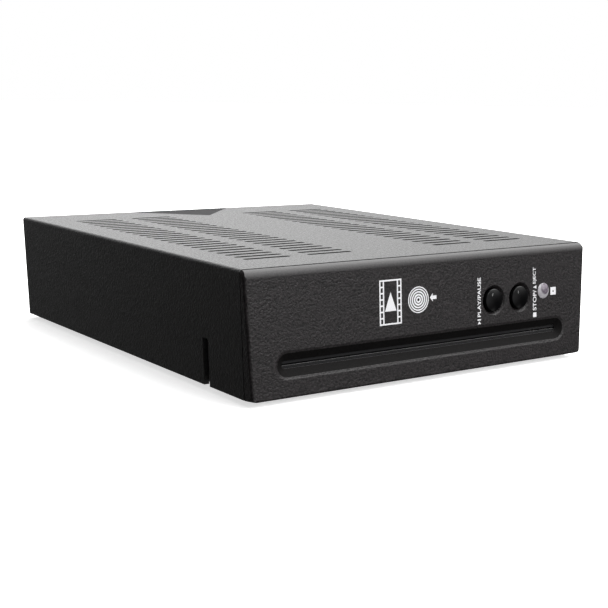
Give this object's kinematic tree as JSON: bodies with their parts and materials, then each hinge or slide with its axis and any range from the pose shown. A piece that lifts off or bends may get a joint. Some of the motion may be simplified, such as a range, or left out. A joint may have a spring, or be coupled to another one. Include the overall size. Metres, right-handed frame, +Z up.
{
  "type": "slot-loading disc player",
  "caption": "Compact black disc player with a long rounded disc slot, round push buttons, vented cover and rear sockets.",
  "frame": {"origin": "middle of the footprint at the height of the feet, the sockets at the rear included", "axes": "+X to the right seen from the front, +Y from the front to the rear, +Z up"},
  "size_m": [0.1598, 0.1959, 0.046],
  "materials": {
    "cover_plastic": "fine grained, dark charcoal",
    "bezel_plastic": "leather grained, dark charcoal",
    "panel_plastic": "plain matt black",
    "gloss_black": "polished black",
    "socket_black": "moulded black",
    "felt": "short pile black felt",
    "rubber": "soft black rubber",
    "window": "clear moulded lens",
    "tray_steel": "zinc plated sheet",
    "frame_steel": "zinc plated pressed sheet",
    "screw_steel": "zinc plated",
    "motor_steel": "drawn motor can",
    "shaft_steel": "ground and polished",
    "brass": "turned brass",
    "board_green": "solder mask",
    "chip_black": "moulded package",
    "can_sleeve": "shrunk sleeve",
    "aluminium": "extruded",
    "natural_plastic": "natural acetal",
    "dark_plastic": "glass filled",
    "table_plastic": "moulded with a soft ring",
    "lens_plastic": "coated lens",
    "led": "clear",
    "receiver": "dark filter plastic",
    "cable": "laminated flat cable",
    "yellow": "moulded",
    "white": "moulded",
    "red": "moulded"
  },
  "bodies": {
    "casing": {"top_cover": "cover_plastic", "front_bezel": "bezel_plastic", "base_tray": "tray_steel", "rear_panel": "panel_plastic", "rubber_feet": "rubber", "case_screws": "screw_steel", "small_screws": "screw_steel", "upper_felt": "felt", "lower_felt": "felt", "ir_window": "window", "front_board": "board_green", "tact_switches": "chip_black", "ir_receiver": "receiver", "status_led": "led", "front_ribbon": "cable", "main_board": "board_green", "board_standoffs": "brass", "board_components": "chip_black", "capacitors": "can_sleeve", "heatsink": "aluminium", "dc_jack": "socket_black", "av_jack_block": "socket_black", "video_jack": "yellow", "left_jack": "white", "right_jack": "red", "rocker_frame": "socket_black", "loader_frame": "frame_steel", "loader_top": "frame_steel", "disc_guide": "natural_plastic", "clamp_bridge": "frame_steel", "rubber_dampers": "rubber", "damper_screws": "screw_steel", "roller_bushes": "natural_plastic", "load_motor": "motor_steel", "gear_axles": "shaft_steel"},
    "play_button": {"play_button": "gloss_black"},
    "stop_button": {"stop_button": "gloss_black"},
    "play_plunger": {"play_plunger": "natural_plastic"},
    "stop_plunger": {"stop_plunger": "natural_plastic"},
    "power_rocker": {"power_rocker": "gloss_black"},
    "feed_roller": {"roller_shaft": "shaft_steel", "feed_roller": "rubber", "roller_gear": "natural_plastic"},
    "idler_gear": {"idler_gear": "natural_plastic"},
    "reduction_gear": {"reduction_gear": "natural_plastic"},
    "motor_pinion": {"motor_pinion": "brass"},
    "traverse": {"traverse_frame": "frame_steel", "spindle_motor": "motor_steel", "guide_rods": "shaft_steel", "sled_motor": "motor_steel"},
    "cam_slider": {"cam_slider": "frame_steel"},
    "turntable": {"turntable": "table_plastic"},
    "clamper": {"clamper": "natural_plastic"},
    "pickup_sled": {"pickup_sled": "dark_plastic"},
    "lens_holder": {"lens_holder": "lens_plastic"},
    "lead_screw": {"lead_screw": "shaft_steel"},
    "entry_lever_left": {"entry_lever_left": "natural_plastic"},
    "entry_lever_right": {"entry_lever_right": "natural_plastic"},
    "eject_lever": {"eject_lever": "natural_plastic"}
  },
  "joints": [
    {"name": "play_press", "type": "slide", "parent": "casing", "child": "play_button", "axis": [0, 0.9977, -0.068], "range_m": [0, 0.0007], "stiffness_N_per_m": 400, "springref_m": -0.0005},
    {"name": "stop_press", "type": "slide", "parent": "casing", "child": "stop_button", "axis": [0, 0.9977, -0.068], "range_m": [0, 0.0007], "stiffness_N_per_m": 400, "springref_m": -0.0005},
    {"name": "play_contact", "type": "slide", "parent": "casing", "child": "play_plunger", "axis": [0, 0.9977, -0.068], "range_m": [0, 0.0003]},
    {"name": "stop_contact", "type": "slide", "parent": "casing", "child": "stop_plunger", "axis": [0, 0.9977, -0.068], "range_m": [0, 0.0003]},
    {"name": "power_tip", "type": "hinge", "parent": "casing", "child": "power_rocker", "pos_m": [0.044, 0.0906, 0.0254], "axis": [0, 0, -1], "range_deg": [0, 16]},
    {"name": "roller_spin", "type": "hinge", "parent": "casing", "child": "feed_roller", "pos_m": [0, -0.083, 0.0092], "axis": [1, 0, 0], "continuous": true},
    {"name": "idler_spin", "type": "hinge", "parent": "casing", "child": "idler_gear", "pos_m": [0.068, -0.07717, 0.01392], "axis": [1, 0, 0], "continuous": true},
    {"name": "reduction_spin", "type": "hinge", "parent": "casing", "child": "reduction_gear", "pos_m": [0.07, -0.07117, 0.02431], "axis": [1, 0, 0], "continuous": true},
    {"name": "pinion_spin", "type": "hinge", "parent": "casing", "child": "motor_pinion", "pos_m": [0.07, -0.0599, 0.02842], "axis": [1, 0, 0], "continuous": true},
    {"name": "traverse_lift", "type": "slide", "parent": "casing", "child": "traverse", "axis": [0, 0, 1], "range_m": [0, 0.003]},
    {"name": "cam_slide", "type": "slide", "parent": "casing", "child": "cam_slider", "axis": [0, 1, 0], "range_m": [0, 0.012]},
    {"name": "disc_spin", "type": "hinge", "parent": "traverse", "child": "turntable", "pos_m": [0, -0.015, 0.01], "axis": [0, 0, 1], "continuous": true},
    {"name": "clamper_spin", "type": "hinge", "parent": "casing", "child": "clamper", "pos_m": [0, -0.015, 0.0204], "axis": [0, 0, 1], "continuous": true},
    {"name": "sled_run", "type": "slide", "parent": "traverse", "child": "pickup_sled", "axis": [0, 1, 0], "range_m": [0, 0.034]},
    {"name": "lens_focus", "type": "slide", "parent": "pickup_sled", "child": "lens_holder", "axis": [0, 0, 1], "range_m": [-0.0003, 0.0003], "stiffness_N_per_m": 60},
    {"name": "lead_turn", "type": "hinge", "parent": "traverse", "child": "lead_screw", "pos_m": [-0.031, 0.023, 0.0071], "axis": [0, 1, 0], "range_deg": [0, 4090]},
    {"name": "entry_left", "type": "hinge", "parent": "casing", "child": "entry_lever_left", "pos_m": [-0.056, -0.053, 0.0166], "axis": [0, 0, -1], "range_deg": [0, 30], "stiffness_Nm_per_rad": 0.002},
    {"name": "entry_right", "type": "hinge", "parent": "casing", "child": "entry_lever_right", "pos_m": [0.056, -0.053, 0.0166], "axis": [0, 0, 1], "range_deg": [0, 30], "stiffness_Nm_per_rad": 0.002},
    {"name": "eject_swing", "type": "hinge", "parent": "casing", "child": "eject_lever", "pos_m": [-0.04, 0.053, 0.0166], "axis": [0, 0, -1], "range_deg": [0, 35], "stiffness_Nm_per_rad": 0.002}
  ],
  "couplings": [
    {"joint": "play_contact", "follows": "play_press", "ratio": 0.42857},
    {"joint": "stop_contact", "follows": "stop_press", "ratio": 0.42857},
    {"joint": "reduction_spin", "follows": "pinion_spin", "ratio": -0.33333},
    {"joint": "idler_spin", "follows": "pinion_spin", "ratio": 0.11111},
    {"joint": "roller_spin", "follows": "pinion_spin", "ratio": -0.074074},
    {"joint": "cam_slide", "follows": "traverse_lift", "ratio": 4},
    {"joint": "lead_turn", "follows": "sled_run", "rad_per_m": 2094.4}
  ]
}
